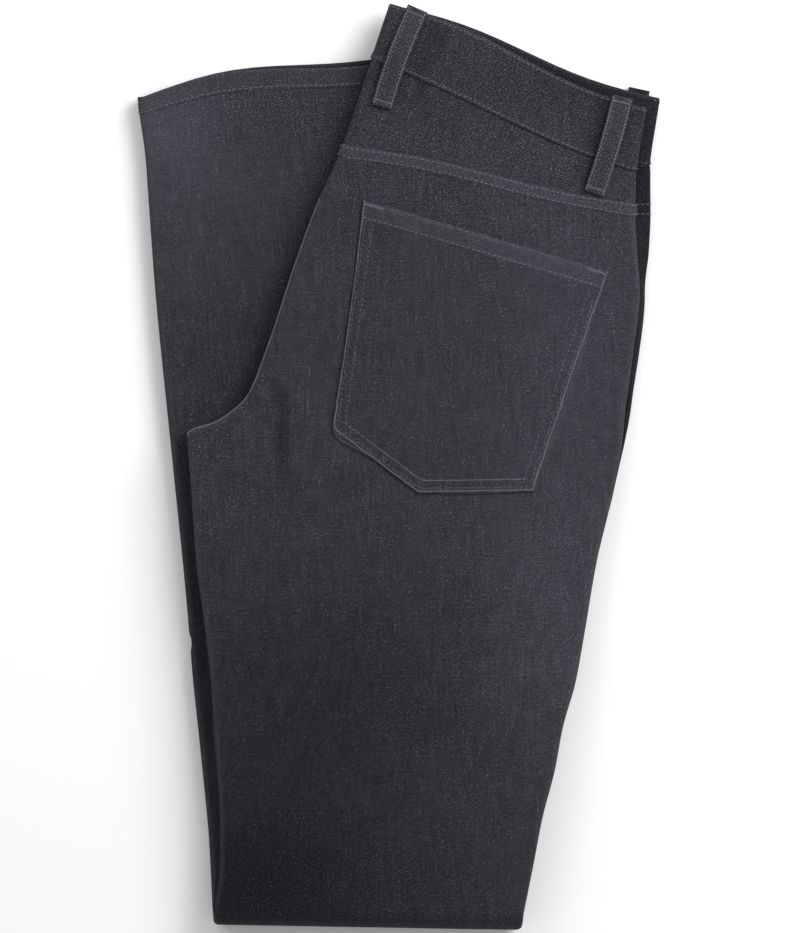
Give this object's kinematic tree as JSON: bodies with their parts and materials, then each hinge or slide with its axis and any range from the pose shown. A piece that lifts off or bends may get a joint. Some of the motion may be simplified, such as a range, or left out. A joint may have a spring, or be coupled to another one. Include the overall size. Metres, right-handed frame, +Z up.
{
  "type": "folded jeans",
  "caption": "Slim tapered dark denim jeans folded flat: legs laid together, back pocket outwards, and the calves turned under at the knee.",
  "frame": {"origin": "middle of the bounding box of the whole fold, on the surface that it rests on", "axes": "+X across the legs from the inside seam towards the side seam, +Y from the knee fold towards the waist, +Z up"},
  "size_m": [0.3016, 0.5338, 0.0302],
  "materials": {
    "denim": "near-black twill, matt, with fine slubs",
    "seam_denim": "the same twill on raised seams and bands, slightly paler, with tonal thread"
  },
  "bodies": {
    "root": {"right_back_panel": "denim", "left_back_panel": "denim", "folded_fronts": "denim", "right_yoke": "denim", "left_yoke": "denim", "waistband": "seam_denim", "right_hem": "seam_denim", "left_hem": "seam_denim", "right_back_pocket": "denim", "left_back_pocket": "denim", "belt_loop_centre_back": "seam_denim", "belt_loop_right_side": "seam_denim", "belt_loop_left_side": "seam_denim"}
  },
  "joints": []
}
